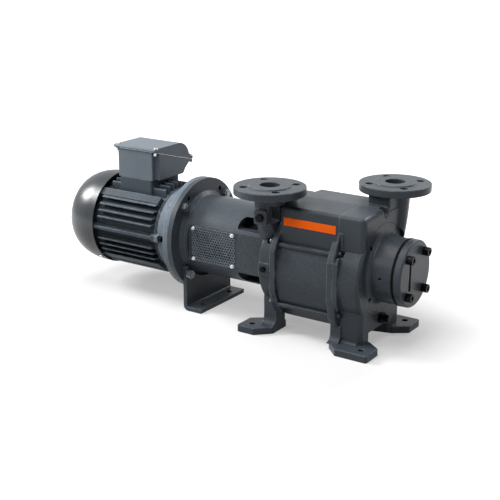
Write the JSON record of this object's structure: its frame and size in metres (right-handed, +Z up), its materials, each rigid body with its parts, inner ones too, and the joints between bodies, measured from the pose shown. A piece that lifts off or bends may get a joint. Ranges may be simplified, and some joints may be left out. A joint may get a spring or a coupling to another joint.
{
  "type": "liquid ring vacuum pump",
  "caption": "Close-coupled liquid ring vacuum pump: ribbed electric motor, lantern with mesh guards, jaw coupling and a cast pump with upright flanged ports on feet.",
  "frame": {"origin": "centre of the pump's four foot holes, on the base plane under the feet", "axes": "+X along the shaft from the motor to the pump's far end, +Y to the back, +Z up; the shaft runs at z 160 mm"},
  "size_m": [0.8699, 0.319, 0.3501],
  "materials": {
    "pump_paint": "satin slate grey paint over cast iron",
    "motor_paint": "satin slate grey paint over cast metal",
    "lantern_paint": "satin slate grey paint over cast iron",
    "cowl_paint": "smooth satin dark grey paint",
    "box_paint": "satin mid grey paint",
    "shield_alloy": "cast, grey",
    "cast_iron": "machined",
    "black_steel": "black oxide",
    "zinc_steel": "bright zinc plated",
    "guard_steel": "perforated sheet",
    "shaft_steel": "ground",
    "bearing_steel": "polished",
    "coupling_iron": "machined",
    "spider_rubber": "moulded",
    "gasket_rubber": "matt",
    "seal_ceramic": "ceramic seal ring",
    "impeller_bronze": "cast bronze",
    "lamination_steel": "laminated sheets",
    "copper": "lacquered copper wire",
    "black_plastic": "moulded",
    "label_orange": "bare orange film"
  },
  "bodies": {
    "stator": {"ring_casing": "pump_paint", "drive_side_casing": "pump_paint", "non_drive_casing": "pump_paint", "drive_port_plate": "cast_iron", "non_drive_port_plate": "cast_iron", "casing_bolts": "black_steel", "lantern": "lantern_paint", "lantern_screws": "black_steel", "lantern_foot": "lantern_paint", "mesh_guard_front": "guard_steel", "mesh_guard_rear": "guard_steel", "guard_screws": "zinc_steel", "flange_bolts": "zinc_steel", "flange_nuts": "zinc_steel", "motor_frame": "motor_paint", "motor_drive_shield": "shield_alloy", "motor_rear_shield": "motor_paint", "shield_screws": "black_steel", "fan_cowl": "cowl_paint", "cowl_screws": "zinc_steel", "terminal_box": "box_paint", "terminal_lid": "box_paint", "lid_screws": "zinc_steel", "bearing_housing": "pump_paint", "housing_screws": "black_steel", "bearing_cap": "pump_paint", "cap_gasket": "gasket_rubber", "cap_screws": "black_steel", "drive_bearing_housing": "pump_paint", "drive_bearing_cover": "pump_paint", "drive_seal_fixed_ring": "seal_ceramic", "gauge_plug": "black_steel", "side_plug": "black_steel", "drain_plug": "black_steel", "label_plate": "label_orange", "stator_core": "lamination_steel", "stator_winding": "copper", "drive_bearing_outer_ring": "bearing_steel", "end_bearing_outer_ring": "bearing_steel", "motor_front_bearing_outer_ring": "bearing_steel", "motor_rear_bearing_outer_ring": "bearing_steel"},
    "motor_rotor": {"motor_shaft": "shaft_steel", "rotor_core": "lamination_steel", "cooling_fan": "black_plastic", "motor_coupling_hub": "coupling_iron", "coupling_spider": "spider_rubber", "motor_front_bearing_inner_ring": "bearing_steel", "motor_rear_bearing_inner_ring": "bearing_steel"},
    "pump_rotor": {"pump_shaft": "shaft_steel", "impeller": "impeller_bronze", "drive_seal_head": "shaft_steel", "drive_bearing_inner_ring": "bearing_steel", "end_bearing_inner_ring": "bearing_steel", "shaft_locknut": "shaft_steel", "pump_coupling_hub": "coupling_iron"},
    "drive_balls": {"drive_bearing_balls": "bearing_steel"},
    "end_balls": {"end_bearing_balls": "bearing_steel"},
    "motor_front_balls": {"motor_front_bearing_balls": "bearing_steel"},
    "motor_rear_balls": {"motor_rear_bearing_balls": "bearing_steel"}
  },
  "joints": [
    {"name": "motor_spin", "type": "hinge", "parent": "stator", "child": "motor_rotor", "pos_m": [-0.478, 0, 0.16], "axis": [1, 0, 0], "continuous": true},
    {"name": "pump_spin", "type": "hinge", "parent": "stator", "child": "pump_rotor", "pos_m": [0, 0, 0.16], "axis": [1, 0, 0], "continuous": true},
    {"name": "motor_front_balls_spin", "type": "hinge", "parent": "stator", "child": "motor_front_balls", "pos_m": [-0.37, 0, 0.16], "axis": [1, 0, 0], "continuous": true},
    {"name": "motor_rear_balls_spin", "type": "hinge", "parent": "stator", "child": "motor_rear_balls", "pos_m": [-0.6, 0, 0.16], "axis": [1, 0, 0], "continuous": true},
    {"name": "drive_balls_spin", "type": "hinge", "parent": "stator", "child": "drive_balls", "pos_m": [-0.1815, 0, 0.16], "axis": [1, 0, 0], "continuous": true},
    {"name": "end_balls_spin", "type": "hinge", "parent": "stator", "child": "end_balls", "pos_m": [0.1605, 0, 0.16], "axis": [1, 0, 0], "continuous": true}
  ],
  "couplings": [
    {"joint": "pump_spin", "follows": "motor_spin", "ratio": 1},
    {"joint": "motor_front_balls_spin", "follows": "motor_spin", "ratio": 0.383},
    {"joint": "motor_rear_balls_spin", "follows": "motor_spin", "ratio": 0.383},
    {"joint": "drive_balls_spin", "follows": "motor_spin", "ratio": 0.383},
    {"joint": "end_balls_spin", "follows": "motor_spin", "ratio": 0.383}
  ]
}
